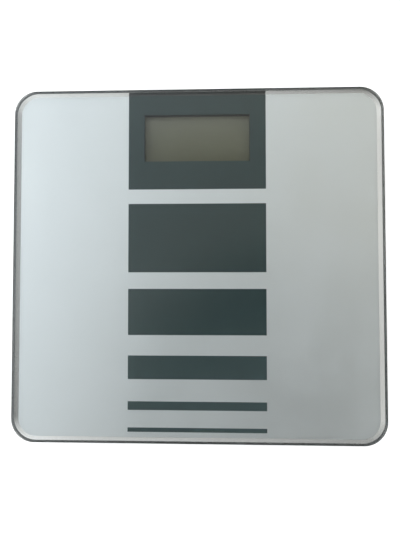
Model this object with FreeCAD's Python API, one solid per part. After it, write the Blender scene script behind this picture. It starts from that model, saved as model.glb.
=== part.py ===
import FreeCAD, Part
import os

# Digital bathroom scale, in millimetres.
# Origin: centre of the footprint on the floor. +Z up, +Y towards the display, +X to the reader's right.

# glass platform
WIDTH = 315.0
DEPTH = 300.0
GLASS_TOP = 28.0
GLASS_THICK = 6.0
GLASS_RADIUS = 20.0
ARRIS = 1.0

# printed layers under the glass
PRINT_THICK = 0.15
PRINT_INSET_X = 4.9
PRINT_INSET_Y = 4.2
PRINT_RADIUS = 15.5
BLOCK_WIDTH = 117.8
# distance of each dark block's start from the rear edge, and its length towards the front
FIRST_BLOCK = (0.0, 85.4)
BLOCKS = [(97.8, 58.8), (170.7, 39.3), (227.3, 20.0), (265.9, 7.3), (287.8, 3.7)]
WINDOW_WIDTH = 90.6
WINDOW_FAR = 20.7
WINDOW_NEAR = 61.2

# load-cell feet
POD_X = 116.0
POD_Y = 109.0
POD_SIDE = 46.0
POD_RADIUS = 10.0
POD_BOTTOM = 9.6
POD_WALL = 2.4
POD_ROOF = 2.4
TAPE_THICK = 0.5
CELL_SIDE = 34.0
CELL_THICK = 2.0
CELL_TOP = 17.4
CELL_SLOT = 2.2
CELL_FRAME = 4.6
TONGUE_RADIUS = 7.0
CELL_RADIUS = 6.0
PEG_RADIUS = 2.4
PEG_GAP = 0.06
PEG_HEAD_RADIUS = 3.0
PEG_HEAD_GAP = 0.65
PEG_TOP = 18.75
SEALANT_OFFSET = 9.6
SEALANT_X = 2.6
RETAINER_THICK = 2.0
RETAINER_BORE = 12.6
FOOT_STEM_RADIUS = 5.5
FOOT_COLLAR_RADIUS = 11.8
FOOT_RADIUS = 17.0
FOOT_DISC_BOTTOM = 2.4
FOOT_DISC_TOP = 8.4
PAD_RADIUS = 15.5
PAD_TOP = 3.4
RETAINER_SCREW_SPREAD = 16.4

# cable channels and leads
CHANNEL_WIDTH = 9.0
CHANNEL_HEIGHT = 5.5
CHANNEL_WALL = 1.2
LEAD_RADIUS = 0.6
LEAD_PITCH = 1.5
FRONT_CHANNEL_X = 36.0

# display housing
HOUSING_X = 56.0
HOUSING_NEAR = 66.0
HOUSING_FAR = 147.0
HOUSING_RADIUS = 5.0
HOUSING_TOP = 21.0
HOUSING_ROOF = 1.6
HOUSING_WALL = 2.0
COVER_BOTTOM = 7.5
COVER_THICK = 1.6
BEZEL_WALL = 1.5
LCD_TOP = 17.2

# display
LCD_X = 48.0
LCD_NEAR = 86.2
LCD_FAR = 131.9
LCD_LEDGE = 5.2
POLARISER_THICK = 0.2
LCD_GLASS_THICK = 0.7
FRAME_WALL = 1.6
FRAME_BASE_TOP = 15.4
FRAME_GAP = 0.1

# circuit board
BOARD_X = 50.0
BOARD_NEAR = 77.0
BOARD_FAR = 138.8
BOARD_BOTTOM = 12.6
BOARD_TOP = 14.2
BOARD_POST_X = 46.0
BOARD_POST_NEAR = 80.2
BOARD_POST_FAR = 136.1
COVER_POST_X = 50.6
COVER_POST_NEAR = 71.4
COVER_POST_FAR = 141.8

# unit button and its switch
BUTTON_X = -28.0
BUTTON_Y = 108.0
BUTTON_RADIUS = 5.0
BUTTON_GAP = 0.3
SWITCH_BOTTOM = 10.9
SWITCH_SIDE = 6.2
PLUNGER_RADIUS = 1.5

# coin cell and door
CELL_X = 28.0
CELL_Y = 108.0
COIN_RADIUS = 10.0
COIN_BOTTOM = 9.2
COIN_THICK = 3.2
DOOR_X = 13.5
DOOR_Y = 14.0
DOOR_GAP = 0.3
DOOR_THICK = 1.4

INNER_FLOOR = COVER_BOTTOM + COVER_THICK
GLASS_BOTTOM = GLASS_TOP - GLASS_THICK
PRINT_BOTTOM = GLASS_BOTTOM - PRINT_THICK
REAR = DEPTH / 2
CORNERS = {
    "rear_left": (-1, 1),
    "rear_right": (1, 1),
    "front_left": (-1, -1),
    "front_right": (1, -1),
}


def save(shape, node):
    shape.exportStep("parts/" + node + ".step")


def box(x0, x1, y0, y1, z0, z1):
    return Part.makeBox(x1 - x0, y1 - y0, z1 - z0, FreeCAD.Vector(x0, y0, z0))


def rod(x, y, z0, z1, radius):
    return Part.makeCylinder(radius, z1 - z0, FreeCAD.Vector(x, y, z0))


def upright_edges(shape):
    return [e for e in shape.Edges if abs(e.tangentAt(e.FirstParameter).z) > 0.99]


def rounded_box(x0, x1, y0, y1, z0, z1, radius):
    block = box(x0, x1, y0, y1, z0, z1)
    return block.makeFillet(radius, upright_edges(block))


def edges_at(shape, level):
    found = []
    for edge in shape.Edges:
        bounds = edge.BoundBox
        if abs(bounds.ZMin - level) < 1e-4 and abs(bounds.ZMax - level) < 1e-4:
            found.append(edge)
    return found


def moved(shape, x, y):
    copy = shape.copy()
    copy.translate(FreeCAD.Vector(x, y, 0))
    return copy


def make_glass():
    plate = rounded_box(-WIDTH / 2, WIDTH / 2, -REAR, REAR, GLASS_BOTTOM, GLASS_TOP, GLASS_RADIUS)
    rims = edges_at(plate, GLASS_TOP) + edges_at(plate, GLASS_BOTTOM)
    return plate.makeChamfer(ARRIS, rims)


def block_box(start, length, grow=0.0):
    far = REAR - start
    half = BLOCK_WIDTH / 2
    return box(-half, half, far - length, far, PRINT_BOTTOM - grow, GLASS_BOTTOM + grow)


def first_block(grow=0.0):
    half = BLOCK_WIDTH / 2
    near = REAR - FIRST_BLOCK[1]
    return box(-half, half, near, REAR - ARRIS, PRINT_BOTTOM - grow, GLASS_BOTTOM + grow)


def make_silver_print():
    x = WIDTH / 2 - PRINT_INSET_X
    y = REAR - PRINT_INSET_Y
    layer = rounded_box(-x, x, -y, y, PRINT_BOTTOM, GLASS_BOTTOM, PRINT_RADIUS)
    cuts = [first_block(1.0)]
    for start, length in BLOCKS:
        cuts.append(block_box(start, length, 1.0))
    return layer.cut(cuts)


def window_box(z0, z1, grow=0.0):
    x = WINDOW_WIDTH / 2 + grow
    return box(-x, x, REAR - WINDOW_NEAR - grow, REAR - WINDOW_FAR + grow, z0, z1)


def make_display_print():
    return first_block().cut(window_box(PRINT_BOTTOM - 1, GLASS_BOTTOM + 1))


def make_block_prints():
    return Part.makeCompound([block_box(start, length) for start, length in BLOCKS])


def make_housing_tape():
    outer = rounded_box(-HOUSING_X + 1, HOUSING_X - 1, HOUSING_NEAR + 1, HOUSING_FAR - 1,
                        HOUSING_TOP, PRINT_BOTTOM, HOUSING_RADIUS - 1)
    return outer.cut(window_box(HOUSING_TOP - 1, PRINT_BOTTOM + 1, 3.0))


def cover_posts():
    return [(sx * COVER_POST_X, y) for sx in (-1, 1) for y in (COVER_POST_NEAR, COVER_POST_FAR)]


def board_posts():
    return [(sx * BOARD_POST_X, y) for sx in (-1, 1) for y in (BOARD_POST_NEAR, BOARD_POST_FAR)]


def lead_notches():
    # slots in the housing walls where the four cable channels come in
    tall = PRINT_BOTTOM - CHANNEL_HEIGHT + CHANNEL_WALL
    half = CHANNEL_WIDTH / 2 - CHANNEL_WALL
    notches = []
    for side in (-1, 1):
        low, high = sorted((side * (HOUSING_X - HOUSING_WALL - 1), side * (HOUSING_X + 1)))
        notches.append(box(low, high, POD_Y - half, POD_Y + half, tall, HOUSING_TOP - HOUSING_ROOF))
        x = side * FRONT_CHANNEL_X
        notches.append(box(x - half, x + half, HOUSING_NEAR - 1, HOUSING_NEAR + HOUSING_WALL + 1,
                           tall, HOUSING_TOP - HOUSING_ROOF))
    return notches


def make_display_housing():
    shell = rounded_box(-HOUSING_X, HOUSING_X, HOUSING_NEAR, HOUSING_FAR,
                        INNER_FLOOR, HOUSING_TOP, HOUSING_RADIUS)
    inner = rounded_box(-HOUSING_X + HOUSING_WALL, HOUSING_X - HOUSING_WALL,
                        HOUSING_NEAR + HOUSING_WALL, HOUSING_FAR - HOUSING_WALL,
                        INNER_FLOOR - 1, HOUSING_TOP - HOUSING_ROOF, HOUSING_RADIUS - HOUSING_WALL)
    shell = shell.cut(inner)
    roof = HOUSING_TOP - HOUSING_ROOF
    bezel = window_box(LCD_TOP, roof, BEZEL_WALL)
    additions = [bezel]
    for x, y in cover_posts():
        additions.append(rod(x, y, INNER_FLOOR, roof, 2.8))
    for x, y in board_posts():
        additions.append(rod(x, y, BOARD_TOP, roof, 2.4))
    shell = shell.fuse(additions)
    cuts = [window_box(LCD_TOP - 1, HOUSING_TOP + 1)]
    for x, y in cover_posts():
        cuts.append(rod(x, y, INNER_FLOOR - 1, INNER_FLOOR + 7, 1.1))
    for x, y in board_posts():
        cuts.append(rod(x, y, BOARD_TOP - 1, BOARD_TOP + 4, 0.9))
    return shell.cut(cuts + lead_notches()).removeSplitter()


def make_housing_cover():
    plate = rounded_box(-HOUSING_X, HOUSING_X, HOUSING_NEAR, HOUSING_FAR,
                        COVER_BOTTOM, INNER_FLOOR, HOUSING_RADIUS)
    plate = plate.makeChamfer(0.8, edges_at(plate, COVER_BOTTOM))
    guide = rod(BUTTON_X, BUTTON_Y, INNER_FLOOR, INNER_FLOOR + 1.4, 8.4)
    guide = guide.cut(rod(BUTTON_X, BUTTON_Y, INNER_FLOOR - 1, INNER_FLOOR + 2, 7.2))
    plate = plate.fuse(guide)
    cuts = [rod(BUTTON_X, BUTTON_Y, COVER_BOTTOM - 1, INNER_FLOOR + 1, BUTTON_RADIUS + BUTTON_GAP)]
    door_x = DOOR_X + DOOR_GAP
    door_y = DOOR_Y + DOOR_GAP
    cuts.append(box(CELL_X - door_x, CELL_X + door_x, CELL_Y - door_y, CELL_Y + door_y,
                    COVER_BOTTOM - 1, INNER_FLOOR + 1))
    # finger hollow beside the battery door
    cuts.append(Part.makeSphere(6.0, FreeCAD.Vector(CELL_X, CELL_Y + DOOR_Y + 2.0, COVER_BOTTOM - 5.0)))
    for x, y in cover_posts():
        cuts.append(rod(x, y, COVER_BOTTOM - 1, INNER_FLOOR + 1, 1.1))
        cuts.append(rod(x, y, COVER_BOTTOM - 1, COVER_BOTTOM + 1.0, 2.3))
    return plate.cut(cuts)


def cross_recess(x, y, head_bottom, depth):
    blades = []
    for width, length in ((2.0, 0.5), (0.5, 2.0)):
        blades.append(box(x - width / 2, x + width / 2, y - length / 2, y + length / 2,
                          head_bottom - 0.1, head_bottom + depth))
    return blades


def screw(x, y, head_bottom, head_height, head_radius, shank_radius, length):
    top = head_bottom + head_height
    body = rod(x, y, head_bottom, top, head_radius)
    body = body.makeFillet(0.35, edges_at(body, head_bottom))
    body = body.fuse(rod(x, y, top, top + length, shank_radius))
    return body.cut(cross_recess(x, y, head_bottom, 0.6))


def make_cover_screws():
    return Part.makeCompound([screw(x, y, COVER_BOTTOM, 1.0, 2.1, 1.1, 7.0) for x, y in cover_posts()])


def make_board_screws():
    head = 1.2
    return Part.makeCompound(
        [screw(x, y, BOARD_BOTTOM - head, head, 1.9, 0.9, 5.0) for x, y in board_posts()])


def make_main_board():
    board = box(-BOARD_X, BOARD_X, BOARD_NEAR, BOARD_FAR, BOARD_BOTTOM, BOARD_TOP)
    return board.cut([rod(x, y, BOARD_BOTTOM - 1, BOARD_TOP + 1, 0.9) for x, y in board_posts()])


def make_controller():
    blob = rod(0, 96, BOARD_BOTTOM - 1.3, BOARD_BOTTOM, 5.5)
    return blob.makeFillet(1.1, edges_at(blob, BOARD_BOTTOM - 1.3))


def make_amplifier():
    x = 2.0
    y = 122.0
    top = BOARD_BOTTOM - 0.2
    solids = [box(x - 5, x + 5, y - 2, y + 2, top - 1.5, top)]
    for index in range(8):
        px = x - 4.445 + 1.27 * index
        for side in (-1, 1):
            inner, outer = sorted((y + side * 2.0, y + side * 2.7))
            foot_in, foot_out = sorted((y + side * 2.7, y + side * 3.4))
            pin = box(px - 0.2, px + 0.2, inner, outer, top - 0.8, top - 0.5)
            knee = box(px - 0.2, px + 0.2, foot_in, foot_out, top - 0.8, BOARD_BOTTOM)
            solids.append(pin.fuse(knee))
    body = solids[0]
    return body.fuse(solids[1:]).removeSplitter()


def make_passives():
    spots = [(-14, 84), (-10, 84), (-6, 84), (8, 84), (12, 84), (-12, 118), (-12, 122), (-12, 126),
             (10, 113), (6, 113), (2, 113), (-4, 113)]
    return Part.makeCompound(
        [box(x - 1, x + 1, y - 0.6, y + 0.6, BOARD_BOTTOM - 0.8, BOARD_BOTTOM) for x, y in spots])


def make_lcd_layers():
    glass_bottom = LCD_TOP - POLARISER_THICK - LCD_GLASS_THICK
    rear_bottom = glass_bottom - LCD_GLASS_THICK
    polariser = box(-LCD_X + 1, LCD_X - 1, LCD_NEAR + 1, LCD_FAR - 1,
                    LCD_TOP - POLARISER_THICK, LCD_TOP)
    front = box(-LCD_X, LCD_X, LCD_NEAR, LCD_FAR, glass_bottom, LCD_TOP - POLARISER_THICK)
    rear = box(-LCD_X, LCD_X, LCD_NEAR, LCD_FAR - LCD_LEDGE, rear_bottom, glass_bottom)
    reflector = box(-LCD_X + 1, LCD_X - 1, LCD_NEAR + 1, LCD_FAR - LCD_LEDGE - 1,
                    FRAME_BASE_TOP, rear_bottom)
    return {
        "lcd_polariser": polariser,
        "lcd_front_glass": front,
        "lcd_rear_glass": rear,
        "lcd_reflector": reflector,
    }


def connector_slot(z0, z1, grow):
    middle = LCD_FAR - LCD_LEDGE / 2
    half = 1.0 + grow
    return box(-42 - grow, 42 + grow, middle - half, middle + half, z0, z1)


def make_lcd_frame():
    x = LCD_X + FRAME_GAP
    y0 = LCD_NEAR - FRAME_GAP
    y1 = LCD_FAR + FRAME_GAP
    top = LCD_TOP - POLARISER_THICK
    frame = box(-x - FRAME_WALL, x + FRAME_WALL, y0 - FRAME_WALL, y1 + FRAME_WALL, BOARD_TOP, top)
    pocket = box(-x, x, y0, y1, FRAME_BASE_TOP, top + 1)
    lightening = box(-38, 38, LCD_NEAR + 6, LCD_FAR - LCD_LEDGE - 6, BOARD_TOP - 1, FRAME_BASE_TOP + 1)
    return frame.cut([pocket, lightening, connector_slot(BOARD_TOP - 1, FRAME_BASE_TOP + 1, 0.1)])


def make_elastomer_strip():
    return connector_slot(BOARD_TOP, LCD_TOP - POLARISER_THICK - LCD_GLASS_THICK, 0.0)


def make_switch_body():
    half = SWITCH_SIDE / 2
    body = box(BUTTON_X - half, BUTTON_X + half, BUTTON_Y - half, BUTTON_Y + half,
               SWITCH_BOTTOM, BOARD_BOTTOM)
    return body.cut(rod(BUTTON_X, BUTTON_Y, SWITCH_BOTTOM - 1, BOARD_BOTTOM - 0.3, PLUNGER_RADIUS + 0.2))


def make_switch_plunger():
    return rod(BUTTON_X, BUTTON_Y, SWITCH_BOTTOM - 0.6, SWITCH_BOTTOM + 0.8, PLUNGER_RADIUS)


def make_unit_button():
    flange_bottom = INNER_FLOOR + 0.1
    flange_top = flange_bottom + 0.6
    cap = rod(BUTTON_X, BUTTON_Y, COVER_BOTTOM + 0.2, flange_bottom, BUTTON_RADIUS)
    cap = cap.makeFillet(0.5, edges_at(cap, COVER_BOTTOM + 0.2))
    flange = rod(BUTTON_X, BUTTON_Y, flange_bottom, flange_top, BUTTON_RADIUS + 1.6)
    neck = rod(BUTTON_X, BUTTON_Y, flange_top, SWITCH_BOTTOM - 0.6, PLUNGER_RADIUS)
    return cap.fuse([flange, neck])


def make_coin_cell():
    can = rod(CELL_X, CELL_Y, COIN_BOTTOM, COIN_BOTTOM + COIN_THICK - 0.4, COIN_RADIUS)
    can = can.makeFillet(0.5, edges_at(can, COIN_BOTTOM))
    return can.fuse(rod(CELL_X, CELL_Y, COIN_BOTTOM + COIN_THICK - 0.4, COIN_BOTTOM + COIN_THICK, 8.4))


def make_cell_holder():
    ring = rod(CELL_X, CELL_Y, COIN_BOTTOM + 0.5, BOARD_BOTTOM, COIN_RADIUS + 1.9)
    bore = rod(CELL_X, CELL_Y, COIN_BOTTOM, BOARD_BOTTOM + 1, COIN_RADIUS + 0.3)
    gap = box(CELL_X + 5, CELL_X + 14, CELL_Y - 3, CELL_Y + 3, COIN_BOTTOM, BOARD_BOTTOM + 1)
    return ring.cut([bore, gap])


def make_cell_negative_contact():
    level = COIN_BOTTOM + COIN_THICK
    strip = box(CELL_X - 8, CELL_X + 7, CELL_Y - 2, CELL_Y + 2, level, BOARD_BOTTOM)
    return strip.fuse(rod(CELL_X, CELL_Y, level, BOARD_BOTTOM, 5.0)).removeSplitter()


def make_cell_positive_contact():
    x = CELL_X + COIN_RADIUS
    blade = box(x, x + 0.3, CELL_Y - 2.4, CELL_Y + 2.4, COIN_BOTTOM + 0.8, BOARD_BOTTOM)
    foot = box(x + 0.3, x + 3.0, CELL_Y - 2.4, CELL_Y + 2.4, BOARD_BOTTOM - 0.3, BOARD_BOTTOM)
    return blade.fuse(foot).removeSplitter()


def make_battery_door():
    near = CELL_Y - DOOR_Y
    far = CELL_Y + DOOR_Y
    plate = box(CELL_X - DOOR_X, CELL_X + DOOR_X, near, far, COVER_BOTTOM, COVER_BOTTOM + DOOR_THICK)
    additions = []
    hook_bottom = INNER_FLOOR + 0.3
    hook_top = hook_bottom + 0.9
    for side in (-1, 1):
        x = CELL_X + side * 9.6
        additions.append(box(x - 2, x + 2, near, near + 1.2, COVER_BOTTOM + DOOR_THICK, hook_top))
        additions.append(box(x - 2, x + 2, near - 2.0, near, hook_bottom, hook_top))
    additions.append(box(CELL_X - 3, CELL_X + 3, far - 1.0, far + 0.15,
                         COVER_BOTTOM + DOOR_THICK, INNER_FLOOR + 0.5))
    ribs = []
    for index in range(5):
        y = CELL_Y + 3 + 1.6 * index
        ribs.append(box(CELL_X - 5, CELL_X + 5, y - 0.3, y + 0.3, COVER_BOTTOM - 0.1, COVER_BOTTOM + 0.35))
    return plate.fuse(additions).cut(ribs).removeSplitter()


def make_pod_tape():
    half = POD_SIDE / 2 - 1
    pads = []
    for sx, sy in CORNERS.values():
        pads.append(rounded_box(sx * POD_X - half, sx * POD_X + half, sy * POD_Y - half, sy * POD_Y + half,
                                PRINT_BOTTOM - TAPE_THICK, PRINT_BOTTOM, POD_RADIUS - 1))
    return Part.makeCompound(pads)


def pod_screw_spots():
    offset = RETAINER_SCREW_SPREAD
    return [(sx * offset, sy * offset) for sx in (-1, 1) for sy in (-1, 1)]


def lead_side(corner):
    # the wall each pod's leads leave by: sideways at the rear, towards the middle at the front
    sx, sy = CORNERS[corner]
    return -sx


def make_pod_housing(corner):
    half = POD_SIDE / 2
    top = PRINT_BOTTOM - TAPE_THICK
    shell = rounded_box(-half, half, -half, half, POD_BOTTOM, top, POD_RADIUS)
    shell = shell.makeFillet(1.2, edges_at(shell, POD_BOTTOM))
    inner = half - POD_WALL
    hollow = rounded_box(-inner, inner, -inner, inner, POD_BOTTOM - 1, top - POD_ROOF, POD_RADIUS - POD_WALL)
    shell = shell.cut(hollow)
    # ledge ring that the load cell's outer frame bears on
    side = CELL_SIDE / 2
    ledge = box(-side, side, -side, side, CELL_TOP, top - POD_ROOF)
    well = side - CELL_FRAME
    ledge = ledge.cut(box(-well, well, -well, well, CELL_TOP - 1, top))
    bosses = []
    holes = []
    for x, y in pod_screw_spots():
        bosses.append(rod(x, y, CELL_TOP - CELL_THICK, top - POD_ROOF, 2.6))
        holes.append(rod(x, y, CELL_TOP - CELL_THICK - 1, CELL_TOP + 1, 0.9))
    room = side + 0.2
    clear = rounded_box(-room, room, -room, room, CELL_TOP - CELL_THICK - 1, CELL_TOP, CELL_RADIUS + 0.2)
    posts = bosses[0].fuse(bosses[1:]).cut(clear)
    shell = shell.fuse([ledge, posts])
    way = lead_side(corner)
    x0, x1 = sorted((way * (side - CELL_FRAME - 1), way * (half + 1)))
    opening = LEAD_PITCH * 1.5 + 1.0
    floor = PRINT_BOTTOM - CHANNEL_HEIGHT + CHANNEL_WALL - 0.1
    notch = box(x0, x1, -opening, opening, floor, top - POD_ROOF)
    shell = shell.cut(holes + [notch]).removeSplitter()
    sx, sy = CORNERS[corner]
    return moved(shell, sx * POD_X, sy * POD_Y)


def make_load_cell(corner):
    half = CELL_SIDE / 2
    bottom = CELL_TOP - CELL_THICK
    plate = rounded_box(-half, half, -half, half, bottom, CELL_TOP, CELL_RADIUS)
    inner = half - CELL_FRAME
    window = box(-inner, inner, -inner, inner, bottom - 1, CELL_TOP + 1)
    beam_half = 3.4
    tongue = box(-beam_half, beam_half, -inner, inner, bottom, CELL_TOP)
    pad = rod(0, 0, bottom, CELL_TOP, TONGUE_RADIUS)
    tongue = tongue.fuse(pad)
    end_gap = box(-inner, inner, -inner, -inner + CELL_SLOT, bottom - 1, CELL_TOP + 1)
    tongue = tongue.cut(end_gap)
    cell = plate.cut(window).fuse(tongue).removeSplitter()
    cell = cell.cut(rod(0, 0, bottom - 1, CELL_TOP + 1, PEG_RADIUS + PEG_GAP))
    sx, sy = CORNERS[corner]
    cell.rotate(FreeCAD.Vector(0, 0, 0), FreeCAD.Vector(0, 0, 1), 0 if sy > 0 else 180)
    return moved(cell, sx * POD_X, sy * POD_Y)


def make_gauge_sealant():
    dabs = []
    for sx, sy in CORNERS.values():
        y = sy * (POD_Y + SEALANT_OFFSET)
        x = sx * POD_X
        dab = box(x - SEALANT_X, x + SEALANT_X, y - 2.2, y + 2.2, CELL_TOP, CELL_TOP + 1.4)
        dabs.append(dab.makeFillet(0.5, edges_at(dab, CELL_TOP + 1.4)))
    return Part.makeCompound(dabs)


def make_retainer(corner):
    half = POD_SIDE / 2 - POD_WALL - 0.3
    top = CELL_TOP - CELL_THICK
    ring = rounded_box(-half, half, -half, half, top - RETAINER_THICK, top, POD_RADIUS - POD_WALL - 0.3)
    cuts = [rod(0, 0, top - RETAINER_THICK - 1, top + 1, RETAINER_BORE)]
    for x, y in pod_screw_spots():
        cuts.append(rod(x, y, top - RETAINER_THICK - 1, top + 1, 0.9))
    ring = ring.cut(cuts)
    sx, sy = CORNERS[corner]
    return moved(ring, sx * POD_X, sy * POD_Y)


def make_retainer_screws():
    head = 1.2
    bottom = CELL_TOP - CELL_THICK - RETAINER_THICK - head
    screws = []
    for sx, sy in CORNERS.values():
        for x, y in pod_screw_spots():
            screws.append(screw(sx * POD_X + x, sy * POD_Y + y, bottom, head, 1.8, 0.9,
                                RETAINER_THICK + CELL_THICK + 0.8))
    return Part.makeCompound(screws)


def make_foot(corner):
    cell_bottom = CELL_TOP - CELL_THICK
    disc = rod(0, 0, FOOT_DISC_BOTTOM, FOOT_DISC_TOP, FOOT_RADIUS)
    disc = disc.makeFillet(1.2, edges_at(disc, FOOT_DISC_TOP) + edges_at(disc, FOOT_DISC_BOTTOM))
    collar = rod(0, 0, FOOT_DISC_TOP - 1, cell_bottom - 2.2, FOOT_COLLAR_RADIUS)
    stem = rod(0, 0, cell_bottom - 3.0, cell_bottom, FOOT_STEM_RADIUS)
    # split peg with a snap head, so that the foot can drop a little but not fall out
    peg = rod(0, 0, cell_bottom, PEG_TOP, PEG_RADIUS)
    head = rod(0, 0, CELL_TOP + PEG_HEAD_GAP, PEG_TOP, PEG_HEAD_RADIUS)
    head = head.makeChamfer(0.4, edges_at(head, PEG_TOP))
    slit = box(-0.4, 0.4, -PEG_HEAD_RADIUS - 1, PEG_HEAD_RADIUS + 1, cell_bottom + 0.6, PEG_TOP + 1)
    foot = disc.fuse([collar, stem, peg, head])
    foot = foot.cut([slit, rod(0, 0, FOOT_DISC_BOTTOM - 1, PAD_TOP, PAD_RADIUS + 0.05)])
    sx, sy = CORNERS[corner]
    return moved(foot.removeSplitter(), sx * POD_X, sy * POD_Y)


def make_foot_pad(corner):
    pad = rod(0, 0, 0.0, PAD_TOP, PAD_RADIUS)
    pad = pad.makeFillet(0.8, edges_at(pad, 0.0))
    grooves = []
    for radius in (6.0, 10.5):
        ring = rod(0, 0, -0.5, 0.6, radius + 0.7)
        grooves.append(ring.cut(rod(0, 0, -1.0, 1.0, radius - 0.7)))
    pad = pad.cut(grooves)
    sx, sy = CORNERS[corner]
    return moved(pad, sx * POD_X, sy * POD_Y)


def channel_run(x0, x1, y0, y1, along_x):
    # one straight length of upside-down trough, stuck to the print by its two lips
    top = PRINT_BOTTOM
    bottom = top - CHANNEL_HEIGHT
    outer = box(x0, x1, y0, y1, bottom, top)
    if along_x:
        inner = box(x0 - 1, x1 + 1, y0 + CHANNEL_WALL, y1 - CHANNEL_WALL, bottom + CHANNEL_WALL, top + 1)
    else:
        inner = box(x0 + CHANNEL_WALL, x1 - CHANNEL_WALL, y0 - 1, y1 + 1, bottom + CHANNEL_WALL, top + 1)
    return outer, inner


def rear_channel(side):
    half = CHANNEL_WIDTH / 2
    x0, x1 = sorted((side * HOUSING_X, side * (POD_X - POD_SIDE / 2)))
    outer, inner = channel_run(x0, x1, POD_Y - half, POD_Y + half, True)
    return outer.cut(inner)


def front_channel(side):
    half = CHANNEL_WIDTH / 2
    x0, x1 = sorted((side * (FRONT_CHANNEL_X - half), side * (POD_X - POD_SIDE / 2)))
    outer_a, inner_a = channel_run(x0, x1, -POD_Y - half, -POD_Y + half, True)
    low, high = sorted((side * (FRONT_CHANNEL_X - half), side * (FRONT_CHANNEL_X + half)))
    outer_b, inner_b = channel_run(low, high, -POD_Y - half, HOUSING_NEAR, False)
    # shorten the hollows so that the outer corner stays closed
    wall = CHANNEL_WALL
    trim_x = sorted((side * (FRONT_CHANNEL_X - half + wall), side * (POD_X + 10)))
    trim = box(trim_x[0], trim_x[1], -POD_Y - half + wall, HOUSING_NEAR + 2,
               PRINT_BOTTOM - CHANNEL_HEIGHT - 1, PRINT_BOTTOM + 2)
    hollow = inner_a.fuse(inner_b).common(trim)
    return outer_a.fuse(outer_b).cut(hollow).removeSplitter()


def lead_path(points):
    # a round lead along straight runs joined by ball elbows
    pieces = []
    for start, end in zip(points, points[1:]):
        way = end.sub(start)
        pieces.append(Part.makeCylinder(LEAD_RADIUS, way.Length, start, way))
    for point in points[1:-1]:
        pieces.append(Part.makeSphere(LEAD_RADIUS, point))
    return pieces[0].fuse(pieces[1:]).removeSplitter()


def lead_level():
    return PRINT_BOTTOM - CHANNEL_HEIGHT + CHANNEL_WALL + LEAD_RADIUS + 0.05


def pod_lead_start(side, end, index, level):
    # each lead leaves the sealant sideways, turns past the tongue and heads for the pod's wall
    step = index * LEAD_PITCH
    x = side * (POD_X - 8.5 - step)
    y = end * (POD_Y + SEALANT_OFFSET + 0.9 * step)
    return [
        FreeCAD.Vector(side * (POD_X - SEALANT_X), y, level),
        FreeCAD.Vector(x, y, level),
        FreeCAD.Vector(x, end * (POD_Y + step), level),
    ]


def make_rear_leads():
    level = lead_level()
    under = BOARD_BOTTOM - LEAD_RADIUS
    drop = HOUSING_X - HOUSING_WALL - 2.4
    leads = []
    for side in (-1, 1):
        for index in (-1, 0, 1):
            y = POD_Y + index * LEAD_PITCH
            path = pod_lead_start(side, 1, index, level)
            path.append(FreeCAD.Vector(side * drop, y, level))
            path.append(FreeCAD.Vector(side * drop, y, under))
            path.append(FreeCAD.Vector(side * (BOARD_X - 3.0), y, under))
            leads.append(lead_path(path))
    return Part.makeCompound(leads)


def make_front_leads():
    level = lead_level()
    under = BOARD_BOTTOM - LEAD_RADIUS
    drop = HOUSING_NEAR + HOUSING_WALL + 5.5
    leads = []
    for side in (-1, 1):
        for index in (-1, 0, 1):
            x = side * (FRONT_CHANNEL_X + index * LEAD_PITCH)
            path = pod_lead_start(side, -1, index, level)
            path.append(FreeCAD.Vector(x, -(POD_Y + index * LEAD_PITCH), level))
            path.append(FreeCAD.Vector(x, drop, level))
            path.append(FreeCAD.Vector(x, drop, under))
            path.append(FreeCAD.Vector(x, BOARD_NEAR + 2.5, under))
            leads.append(lead_path(path))
    return Part.makeCompound(leads)


def main():
    os.makedirs("parts", exist_ok=True)
    save(make_glass(), "glass_platform")
    save(make_silver_print(), "silver_print")
    save(make_display_print(), "display_print")
    save(make_block_prints(), "block_prints")
    save(make_housing_tape(), "housing_tape")
    save(make_display_housing(), "display_housing")
    save(make_housing_cover(), "housing_cover")
    save(make_cover_screws(), "cover_screws")
    save(make_main_board(), "main_board")
    save(make_board_screws(), "board_screws")
    save(make_controller(), "controller_blob")
    save(make_amplifier(), "amplifier_chip")
    save(make_passives(), "board_passives")
    for node, shape in make_lcd_layers().items():
        save(shape, node)
    save(make_lcd_frame(), "lcd_frame")
    save(make_elastomer_strip(), "elastomer_strip")
    save(make_switch_body(), "switch_body")
    save(make_switch_plunger(), "switch_plunger")
    save(make_unit_button(), "unit_button")
    save(make_coin_cell(), "coin_cell")
    save(make_cell_holder(), "cell_holder")
    save(make_cell_negative_contact(), "cell_contact_negative")
    save(make_cell_positive_contact(), "cell_contact_positive")
    save(make_battery_door(), "battery_door")
    save(make_pod_tape(), "pod_tape")
    save(make_gauge_sealant(), "gauge_sealant")
    save(make_retainer_screws(), "retainer_screws")
    for corner in CORNERS:
        save(make_pod_housing(corner), "pod_housing_" + corner)
        save(make_load_cell(corner), "load_cell_" + corner)
        save(make_retainer(corner), "cell_retainer_" + corner)
        save(make_foot(corner), "foot_" + corner)
        save(make_foot_pad(corner), "foot_pad_" + corner)
    for side, word in ((-1, "left"), (1, "right")):
        save(rear_channel(side), "cable_channel_rear_" + word)
        save(front_channel(side), "cable_channel_front_" + word)
    save(make_rear_leads(), "rear_leads")
    save(make_front_leads(), "front_leads")


main()
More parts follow.
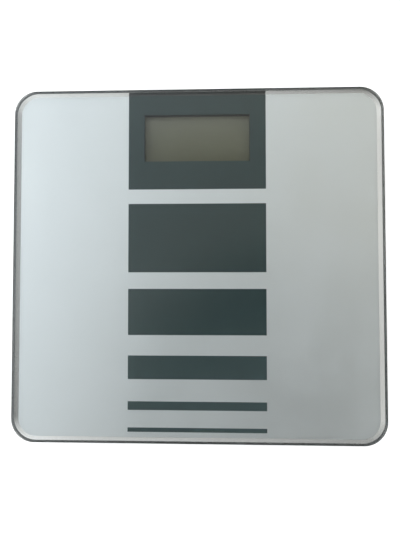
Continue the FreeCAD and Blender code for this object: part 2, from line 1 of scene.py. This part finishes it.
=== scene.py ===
import math
import bpy
import bmesh
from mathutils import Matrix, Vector


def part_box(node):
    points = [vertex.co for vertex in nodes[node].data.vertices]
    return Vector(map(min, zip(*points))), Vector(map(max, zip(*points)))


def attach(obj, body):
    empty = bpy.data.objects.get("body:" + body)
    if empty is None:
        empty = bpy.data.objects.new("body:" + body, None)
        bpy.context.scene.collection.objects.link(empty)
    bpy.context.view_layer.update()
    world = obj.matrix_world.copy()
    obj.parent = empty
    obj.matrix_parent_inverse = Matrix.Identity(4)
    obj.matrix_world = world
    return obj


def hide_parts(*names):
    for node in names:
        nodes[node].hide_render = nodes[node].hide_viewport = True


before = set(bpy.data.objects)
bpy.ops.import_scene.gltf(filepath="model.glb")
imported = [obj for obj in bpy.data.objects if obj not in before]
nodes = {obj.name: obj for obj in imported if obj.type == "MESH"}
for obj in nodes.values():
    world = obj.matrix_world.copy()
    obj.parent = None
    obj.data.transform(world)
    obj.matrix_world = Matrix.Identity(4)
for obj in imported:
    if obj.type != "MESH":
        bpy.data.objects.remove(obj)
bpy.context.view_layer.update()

scene = bpy.context.scene
MM = 0.001

GLASS_INDEX = 1.52
PLATE_RADIUS = 20.0 * MM      # corners of the glass
PRINT_RADIUS = 15.5 * MM      # corners of the print under it
ARRIS = 1.0 * MM              # rounding of the glass's two edges
BOND_GAP = 0.03 * MM          # keeps the glass and the print from sharing a face
WINDOW_LAP_X = 1.7 * MM       # the display window stops short of the LCD by this much
WINDOW_LAP_Y = 1.6 * MM
CORNER_STEPS = 20
ARRIS_STEPS = 5
# the plate's material slots, in the order that they are added
TOP, EDGE, MARGIN, SIDE, BONDED, WINDOW = range(6)


# ---------------------------------------------------------------- material tools

def new_material(name):
    material = bpy.data.materials.new(name)
    material.use_nodes = True
    tree = material.node_tree
    return material, tree, tree.nodes["Principled BSDF"]


def add_node(tree, kind, **values):
    node = tree.nodes.new(kind)
    for key, value in values.items():
        setattr(node, key, value)
    return node


def object_points(tree):
    return add_node(tree, "ShaderNodeTexCoord").outputs["Object"]


def noise(tree, scale, detail=3.0, rough=0.55, stretch=None):
    points = object_points(tree)
    if stretch:
        mapping = add_node(tree, "ShaderNodeMapping")
        mapping.inputs["Scale"].default_value = stretch
        tree.links.new(points, mapping.inputs["Vector"])
        points = mapping.outputs["Vector"]
    texture = add_node(tree, "ShaderNodeTexNoise")
    texture.inputs["Scale"].default_value = scale
    texture.inputs["Detail"].default_value = detail
    texture.inputs["Roughness"].default_value = rough
    tree.links.new(points, texture.inputs["Vector"])
    return texture.outputs["Fac"]


def ramp(tree, source, low, high, start=0.3, end=0.7):
    node = add_node(tree, "ShaderNodeValToRGB")
    node.color_ramp.elements[0].position = start
    node.color_ramp.elements[1].position = end
    node.color_ramp.elements[0].color = (*low, 1)
    node.color_ramp.elements[1].color = (*high, 1)
    tree.links.new(source, node.inputs["Fac"])
    return node.outputs["Color"]


def map_range(tree, source, start, end, low=0.0, high=1.0, kind="LINEAR"):
    """The source, taken from start..end to low..high and clamped there."""
    node = add_node(tree, "ShaderNodeMapRange", interpolation_type=kind)
    limits = (("From Min", start), ("From Max", end), ("To Min", low), ("To Max", high))
    for key, value in limits:
        node.inputs[key].default_value = value
    tree.links.new(source, node.inputs["Value"])
    return node.outputs["Result"]


def spread(tree, source, low, high):
    """A noise's useful range, taken to low..high."""
    return map_range(tree, source, 0.3, 0.7, low, high)


def math_node(tree, operation, *values):
    """A Math node. Each value is a number or another node's output."""
    node = add_node(tree, "ShaderNodeMath", operation=operation)
    for socket, value in zip(node.inputs, values):
        if isinstance(value, (int, float)):
            socket.default_value = value
        else:
            tree.links.new(value, socket)
    return node.outputs["Value"]


def vector_node(tree, operation, vector, fixed):
    """A Vector Math node between a direction and a fixed vector, which gives a number."""
    node = add_node(tree, "ShaderNodeVectorMath", operation=operation)
    tree.links.new(vector, node.inputs[0])
    node.inputs[1].default_value = fixed
    return node.outputs["Value"]


def split_axes(tree, vector):
    node = add_node(tree, "ShaderNodeSeparateXYZ")
    tree.links.new(vector, node.inputs["Vector"])
    return node.outputs


def along(tree, axis, start, end, scale, wander):
    """0 to 1 from start to end on an object axis, with some noise so that it isn't ruled."""
    place = split_axes(tree, object_points(tree))[axis]
    shifted = math_node(tree, "MULTIPLY_ADD", noise(tree, scale, 2.0), wander, place)
    return map_range(tree, shifted, start, end)


def bump(tree, shader, height, distance, strength):
    node = add_node(tree, "ShaderNodeBump")
    node.inputs["Distance"].default_value = distance
    node.inputs["Strength"].default_value = strength
    tree.links.new(height, node.inputs["Height"])
    tree.links.new(node.outputs["Normal"], shader.inputs["Normal"])


def moulded(name, dark, light, rough=(0.42, 0.55), grain=2600.0, depth=0.00003):
    """Injection-moulded plastic: faint flow mottling and a fine spark-eroded grain."""
    material, tree, shader = new_material(name)
    tree.links.new(ramp(tree, noise(tree, 45.0), dark, light), shader.inputs["Base Color"])
    tree.links.new(spread(tree, noise(tree, 160.0), *rough), shader.inputs["Roughness"])
    bump(tree, shader, noise(tree, grain, 2.0), depth, 0.6)
    return material


def metal(name, dark, light, rough=(0.22, 0.38), stretch=(1.0, 12.0, 1.0)):
    """Plated sheet metal with fine directional rolling marks."""
    material, tree, shader = new_material(name)
    marks = noise(tree, 420.0, 4.0, 0.6, stretch)
    tree.links.new(ramp(tree, marks, dark, light), shader.inputs["Base Color"])
    tree.links.new(spread(tree, marks, *rough), shader.inputs["Roughness"])
    shader.inputs["Metallic"].default_value = 1.0
    bump(tree, shader, marks, 0.00001, 0.5)
    return material


def clear_glass(name, tint, rough, index=GLASS_INDEX, mirror=1.0):
    """Solid clear glass that lets the lamps' light through to what is behind it. Mirror is how
    much of the reflection at a head-on look is kept."""
    material, tree, shader = new_material(name)
    shader.inputs["Base Color"].default_value = (*tint, 1)
    shader.inputs["Transmission Weight"].default_value = 1.0
    shader.inputs["IOR"].default_value = index
    shader.inputs["Specular Tint"].default_value = (mirror, mirror, mirror, 1)
    shader.inputs["Roughness"].default_value = rough
    path = add_node(tree, "ShaderNodeLightPath")
    through = add_node(tree, "ShaderNodeBsdfTransparent")
    through.inputs["Color"].default_value = (*tint, 1)
    mix = add_node(tree, "ShaderNodeMixShader")
    output = tree.nodes["Material Output"]
    tree.links.new(path.outputs["Is Shadow Ray"], mix.inputs["Fac"])
    tree.links.new(shader.outputs["BSDF"], mix.inputs[1])
    tree.links.new(through.outputs["BSDF"], mix.inputs[2])
    tree.links.new(mix.outputs["Shader"], output.inputs["Surface"])
    return material


# ---------------------------------------------------------------- materials

def silver_ink():
    """Satin silver screen print: metallic flakes in a clear binder."""
    material, tree, shader = new_material("silver_ink")
    flakes = noise(tree, 5200.0, 2.0)
    clouds = noise(tree, 16.0, 3.0)
    tree.links.new(ramp(tree, clouds, (0.69, 0.70, 0.705), (0.725, 0.735, 0.745)),
                   shader.inputs["Base Color"])
    shader.inputs["Metallic"].default_value = 1.0
    tree.links.new(spread(tree, clouds, 0.42, 0.47), shader.inputs["Roughness"])
    bump(tree, shader, flakes, 0.000004, 0.5)
    return material


def grey_ink():
    """Slate-grey screen print, with painted light that makes it lighter towards the front."""
    material, tree, shader = new_material("grey_ink")
    clouds = noise(tree, 22.0, 3.0)
    # painted light: the ink grows lighter from the middle towards the front
    front_painted_light = along(tree, "Y", 0.02, -0.085, 22.0, 0.04)
    tree.links.new(ramp(tree, front_painted_light, (0.0285, 0.047, 0.048), (0.055, 0.077, 0.079), 0.0, 1.0),
                   shader.inputs["Base Color"])
    tree.links.new(spread(tree, clouds, 0.5, 0.6), shader.inputs["Roughness"])
    # bonded to the glass, so it has hardly any gloss of its own
    shader.inputs["Specular IOR Level"].default_value = 0.1
    bump(tree, shader, noise(tree, 2200.0, 2.0), 0.000002, 0.4)
    return material


def display_film():
    """Switched-off LCD behind its satin front polariser: darker olive at the front and lighter grey
    at the rear, which is painted shade towards the front.
    """
    material, tree, shader = new_material("display_film")
    low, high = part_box("lcd_polariser")
    # painted shade: the film darkens from the rear to the front
    depth = along(tree, "Y", low[1], high[1], 30.0, 0.006)
    tree.links.new(ramp(tree, depth, (0.067, 0.067, 0.032), (0.143, 0.142, 0.106), 0.0, 1.0),
                   shader.inputs["Base Color"])
    tree.links.new(spread(tree, noise(tree, 900.0, 2.0), 0.28, 0.36), shader.inputs["Roughness"])
    shader.inputs["Specular IOR Level"].default_value = 0.3
    bump(tree, shader, noise(tree, 3800.0, 2.0), 0.000002, 0.3)
    return material


def circuit_board():
    """Green solder mask over copper tracks that run along the board."""
    material, tree, shader = new_material("circuit_board")
    tracks = noise(tree, 210.0, 0.0, 0.5, (0.16, 1.0, 1.0))
    tree.links.new(ramp(tree, tracks, (0.012, 0.075, 0.03), (0.025, 0.15, 0.06), 0.49, 0.51),
                   shader.inputs["Base Color"])
    tree.links.new(spread(tree, tracks, 0.25, 0.32), shader.inputs["Roughness"])
    bump(tree, shader, tracks, 0.00004, 0.8)
    return material


def rubber():
    """Moulded rubber with a dusty bloom and fine surface tooth."""
    material, tree, shader = new_material("foot_rubber")
    tree.links.new(ramp(tree, noise(tree, 60.0, 5.0), (0.018, 0.018, 0.018), (0.045, 0.044, 0.042)),
                   shader.inputs["Base Color"])
    tree.links.new(spread(tree, noise(tree, 300.0), 0.68, 0.85), shader.inputs["Roughness"])
    bump(tree, shader, noise(tree, 1800.0, 3.0), 0.00005, 0.7)
    return material


looks = {
    "silver": silver_ink(),
    "grey": grey_ink(),
    "painted_shade_film": display_film(),
    "board": circuit_board(),
    "rubber": rubber(),
    "bezel": moulded("bezel_plastic", (0.007, 0.008, 0.008), (0.011, 0.012, 0.012), (0.6, 0.7)),
    "housing": moulded("housing_plastic", (0.020, 0.022, 0.022), (0.030, 0.032, 0.032)),
    "pod": moulded("pod_plastic", (0.026, 0.028, 0.028), (0.038, 0.040, 0.040)),
    "foot": moulded("foot_plastic", (0.035, 0.037, 0.037), (0.050, 0.052, 0.052), grain=3400.0),
    "button": moulded("button_plastic", (0.22, 0.23, 0.23), (0.27, 0.28, 0.28), grain=3200.0),
    "retainer": moulded("retainer_plastic", (0.30, 0.31, 0.31), (0.36, 0.37, 0.37)),
    "white": moulded("white_plastic", (0.58, 0.58, 0.55), (0.66, 0.66, 0.63)),
    "tape": moulded("foam_tape", (0.012, 0.012, 0.012), (0.03, 0.03, 0.03),
                    (0.85, 0.95), 900.0, 0.00012),
    "sealant": moulded("silicone_sealant", (0.62, 0.62, 0.58), (0.72, 0.72, 0.68),
                       (0.3, 0.4), 500.0, 0.00006),
    "resin": moulded("black_resin", (0.008, 0.008, 0.009), (0.016, 0.016, 0.018),
                     (0.12, 0.24), 260.0, 0.00005),
    "package": moulded("chip_package", (0.012, 0.012, 0.013), (0.022, 0.022, 0.024), (0.5, 0.62)),
    "ceramic": moulded("capacitor_ceramic", (0.22, 0.15, 0.08), (0.32, 0.23, 0.14), (0.35, 0.45)),
    "elastomer": moulded("layered_elastomer", (0.05, 0.05, 0.05), (0.24, 0.24, 0.24), (0.6, 0.7)),
    "lead": moulded("lead_sheath", (0.34, 0.02, 0.018), (0.45, 0.035, 0.03), (0.32, 0.42), 700.0),
    "zinc": metal("zinc_plate", (0.46, 0.47, 0.48), (0.62, 0.63, 0.64)),
    "nickel": metal("nickel_plate", (0.48, 0.47, 0.44), (0.62, 0.60, 0.56)),
    "can": metal("cell_can", (0.52, 0.53, 0.54), (0.66, 0.67, 0.68), (0.18, 0.3), (10.0, 1.0, 1.0)),
    "lcd_glass": clear_glass("lcd_glass", (0.90, 0.93, 0.91), 0.02),
}

finish_of = {
    "silver_print": "silver",
    "display_print": "grey",
    "block_prints": "grey",
    "housing_tape": "tape",
    "pod_tape": "tape",
    "display_housing": "bezel",
    "housing_cover": "housing",
    "battery_door": "housing",
    "cover_screws": "zinc",
    "board_screws": "zinc",
    "retainer_screws": "zinc",
    "main_board": "board",
    "controller_blob": "resin",
    "amplifier_chip": "package",
    "board_passives": "ceramic",
    "lcd_polariser": "painted_shade_film",
    "lcd_front_glass": "lcd_glass",
    "lcd_rear_glass": "lcd_glass",
    "lcd_reflector": "painted_shade_film",
    "lcd_frame": "white",
    "elastomer_strip": "elastomer",
    "switch_body": "package",
    "switch_plunger": "white",
    "unit_button": "button",
    "coin_cell": "can",
    "cell_holder": "package",
    "cell_contact_negative": "nickel",
    "cell_contact_positive": "nickel",
    "gauge_sealant": "sealant",
    "rear_leads": "lead",
    "front_leads": "lead",
}
families = {
    "pod_housing_": "pod",
    "load_cell_": "nickel",
    "cell_retainer_": "retainer",
    "foot_pad_": "rubber",
    "foot_": "foot",
    "cable_channel_": "pod",
}


def finish_name(node):
    if node in finish_of:
        return finish_of[node]
    for start, look in families.items():
        if node.startswith(start):
            return look
    return None


for node, thing in nodes.items():
    look = finish_name(node)
    if look is None:
        continue
    if not thing.material_slots:
        thing.data.materials.append(looks[look])
    for material_slot in thing.material_slots:
        material_slot.material = looks[look]


# ---------------------------------------------------------------- the glass plate

def outline(half_x, half_y, radius):
    """Rounded rectangle round the origin, anticlockwise from its +X side."""
    points = []
    for quarter, (sx, sy) in enumerate(((1, 1), (-1, 1), (-1, -1), (1, -1))):
        for step in range(CORNER_STEPS + 1):
            turn = math.radians(90 * quarter + 90 * step / CORNER_STEPS)
            points.append((sx * (half_x - radius) + radius * math.cos(turn),
                           sy * (half_y - radius) + radius * math.sin(turn)))
    return points


def edge_profile(bottom, top):
    """(inset, height) down the ground edge, with both arrises worked round."""
    turns = [math.radians(90 * step / ARRIS_STEPS) for step in range(ARRIS_STEPS + 1)]
    bend = [(ARRIS * (1 - math.sin(turn)), ARRIS * (1 - math.cos(turn))) for turn in turns]
    # the lower arris is the upper one turned over
    return ([(inset, top - drop) for inset, drop in bend]
            + [(inset, bottom + rise) for rise, inset in bend])


def ground_edge():
    """Ground and part-polished glass edge: half clear, with fine wheel marks along it, and a
    near-black tint that is painted shade for the dark line round the glass's rim.
    """
    material, tree, shader = new_material("ground_edge")
    marks = noise(tree, 1500.0, 3.0, 0.6, (1.0, 1.0, 6.0))
    # painted shade: near-black tint for the dark line at the glass's edge
    tree.links.new(ramp(tree, marks, (0.008, 0.009, 0.009), (0.018, 0.020, 0.019)),
                   shader.inputs["Base Color"])
    shader.inputs["Transmission Weight"].default_value = 0.5
    shader.inputs["IOR"].default_value = GLASS_INDEX
    shader.inputs["Roughness"].default_value = 0.15
    bump(tree, shader, marks, 0.00001, 0.4)
    return material


def margin_painted_shade():
    """Bare border under the glass, outside the print, with a grey tint that is painted shade: it
    grows lighter towards +X and the rear on the two sides, and the other way at the front and rear."""
    material, tree, shader = new_material("margin_painted_shade")
    place = split_axes(tree, object_points(tree))
    # 1 along the two sides, and turned over at the front and rear
    rows = math_node(tree, "ABSOLUTE", place["Y"])
    swap = map_range(tree, rows, 0.130, 0.148, 1.0, -0.9)
    across = math_node(tree, "MULTIPLY_ADD", place["Y"], 0.3, place["X"])
    grain = math_node(tree, "MULTIPLY", noise(tree, 700.0, 2.0), 0.03)
    turned = math_node(tree, "MULTIPLY_ADD", across, swap, grain)
    # painted shade: the border's tint runs from near black to mid grey across it
    painted_shade_film = math_node(tree, "POWER", map_range(tree, turned, -0.20, 0.18), 1.4)
    tree.links.new(ramp(tree, painted_shade_film, (0.021, 0.020, 0.017), (0.43, 0.43, 0.42), 0.0, 1.0),
                   shader.inputs["Base Color"])
    shader.inputs["Transmission Weight"].default_value = 1.0
    shader.inputs["IOR"].default_value = GLASS_INDEX
    shader.inputs["Roughness"].default_value = 0.12
    return material


def make_plate():
    low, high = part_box("glass_platform")
    print_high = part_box("silver_print")[1]
    lcd_low, lcd_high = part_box("lcd_polariser")
    bottom = low[2] + BOND_GAP
    mesh = bmesh.new()

    def ring_of(points, height):
        return [mesh.verts.new((x, y, height)) for x, y in points]

    # top and edge
    loops = [ring_of(outline(high[0] - inset, high[1] - inset, PLATE_RADIUS - inset), height)
             for inset, height in edge_profile(bottom, high[2])]
    count = len(loops[0])
    middle = len(loops) // 2 - 1
    for level, (upper, lower) in enumerate(zip(loops, loops[1:])):
        for i in range(count):
            j = (i + 1) % count
            face = mesh.faces.new((upper[i], lower[i], lower[j], upper[j]))
            face.material_index = SIDE if level == middle else EDGE
            face.smooth = True
    mesh.faces.new(loops[0]).material_index = TOP
    # underside: the bare margin is its own band round the printed middle
    inner = ring_of(outline(print_high[0], print_high[1], PRINT_RADIUS), bottom)
    for i in range(count):
        j = (i + 1) % count
        face = mesh.faces.new((loops[-1][i], inner[i], inner[j], loops[-1][j]))
        face.material_index = MARGIN
    # window over the display, then the printed middle round it in four panels
    x0, x1 = lcd_low[0] + WINDOW_LAP_X, lcd_high[0] - WINDOW_LAP_X
    y0, y1 = lcd_low[1] + WINDOW_LAP_Y, lcd_high[1] - WINDOW_LAP_Y
    window = ring_of(((x1, y1), (x0, y1), (x0, y0), (x1, y0)), bottom)
    mesh.faces.new(window).material_index = WINDOW
    quarter = count // 4
    for side in range(4):
        first = side * quarter + quarter // 2
        span = [inner[(first + step) % count] for step in range(quarter + 1)]
        panel = mesh.faces.new(span + [window[(side + 1) % 4], window[side]])
        panel.material_index = BONDED
    bmesh.ops.recalc_face_normals(mesh, faces=mesh.faces)
    data = bpy.data.meshes.new("glass_plate")
    mesh.to_mesh(data)
    mesh.free()
    plate = bpy.data.objects.new("glass_plate", data)
    scene.collection.objects.link(plate)
    data.materials.append(clear_glass("plate_glass", (0.97, 0.99, 0.985), 0.0))
    data.materials.append(ground_edge())
    data.materials.append(margin_painted_shade())
    data.materials.append(clear_glass("polished_side", (0.90, 0.95, 0.93), 0.05))
    # the print is bonded on, so this face has no reflection of its own
    data.materials.append(clear_glass("bonded_underside", (0.98, 0.99, 0.988), 0.0, index=1.0))
    # the display sits below this one: it bends light, but its reflection is taken out
    data.materials.append(clear_glass("window_underside", (0.98, 0.99, 0.988), 0.0, mirror=0.0))
    return plate


plate = make_plate()
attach(plate, "platform")
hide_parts("glass_platform")


# ---------------------------------------------------------------- camera, floor and light

def make_camera():
    data = bpy.data.cameras.new("camera")
    data.sensor_width = 36.0
    data.lens = 26.0
    data.clip_start = 0.01
    data.clip_end = 20.0
    camera = bpy.data.objects.new("camera", data)
    scene.collection.objects.link(camera)
    camera.location = (0.0126, -0.0108, 0.3518)
    camera.rotation_euler = [math.radians(a) for a in (1.593, 1.751, -0.028)]
    scene.camera = camera


def make_floor():
    mesh = bmesh.new()
    bmesh.ops.create_grid(mesh, x_segments=1, y_segments=1, size=3.0)
    data = bpy.data.meshes.new("floor")
    mesh.to_mesh(data)
    mesh.free()
    thing = bpy.data.objects.new("floor", data)
    scene.collection.objects.link(thing)
    material, tree, shader = new_material("floor")
    shader.inputs["Base Color"].default_value = (0.93, 0.93, 0.925, 1)
    shader.inputs["Roughness"].default_value = 0.85
    # a lit white table, as for product pictures
    shader.inputs["Emission Color"].default_value = (1.0, 1.0, 1.0, 1)
    shader.inputs["Emission Strength"].default_value = 0.42
    data.materials.append(material)
    return thing


def make_world():
    """The room that the plate mirrors: brighter and cooler on the left, and even low down."""
    world = bpy.data.worlds.new("studio")
    scene.world = world
    world.use_nodes = True
    tree = world.node_tree
    background = tree.nodes["Background"]
    direction = add_node(tree, "ShaderNodeTexCoord").outputs["Generated"]
    parts = split_axes(tree, direction)
    slope = vector_node(tree, "DOT_PRODUCT", direction, (-0.74, 0.24, 0.0))
    shift = math_node(tree, "ADD", slope, 0.69)
    # a brighter band that the rear of the plate mirrors
    band = map_range(tree, parts["Y"], 0.26, 0.48, 0.0, 0.30, "SMOOTHSTEP")
    # both side walls of the room are a little brighter than its ceiling
    aside = math_node(tree, "ABSOLUTE", parts["X"])
    walls = map_range(tree, aside, 0.31, 0.50, 0.0, 0.36, "SMOOTHSTEP")
    level = math_node(tree, "ADD", shift, math_node(tree, "ADD", band, walls))
    # the darker part of the room that the front right of the plate mirrors
    patch = vector_node(tree, "DISTANCE", direction, (0.19, -0.42, 0.885))
    shade = map_range(tree, patch, 0.345, 0.60, kind="SMOOTHSTEP")
    strength = math_node(tree, "MULTIPLY", level, shade)
    # low down the studio is evenly lit all round
    around = map_range(tree, parts["Z"], 0.40, 0.64, 1.0, 0.0, "SMOOTHSTEP")
    even = add_node(tree, "ShaderNodeMix")
    even.inputs["B"].default_value = 0.95
    tree.links.new(around, even.inputs["Factor"])
    tree.links.new(strength, even.inputs["A"])
    tree.links.new(even.outputs["Result"], background.inputs["Strength"])
    # cool daylight on one side, warmer room light on the other
    tone = map_range(tree, slope, -0.22, 0.32)
    colours = ramp(tree, tone, (1.02, 0.98, 0.84), (0.91, 1.0, 1.065), 0.0, 1.0)
    plain = add_node(tree, "ShaderNodeMixRGB")
    plain.inputs["Color2"].default_value = (0.97, 0.985, 1.0, 1)
    tree.links.new(around, plain.inputs["Fac"])
    tree.links.new(colours, plain.inputs["Color1"])
    tree.links.new(plain.outputs["Color"], background.inputs["Color"])


def lamp(name, place, size, watts):
    data = bpy.data.lights.new(name, "AREA")
    data.shape = "SQUARE"
    data.size = size
    data.energy = watts
    thing = bpy.data.objects.new(name, data)
    scene.collection.objects.link(thing)
    thing.location = place
    thing.rotation_euler = (-Vector(place)).to_track_quat("-Z", "Y").to_euler()
    # the plate mirrors the room, not the lamps
    thing.visible_glossy = False


make_camera()
floor = make_floor()
make_world()
lamp("side_left", (-2.3, 0.6, 1.0), 1.4, 20)
lamp("side_right", (2.3, -0.3, 1.0), 1.4, 12)

scene.view_settings.view_transform = "Standard"
scene.view_settings.look = "None"
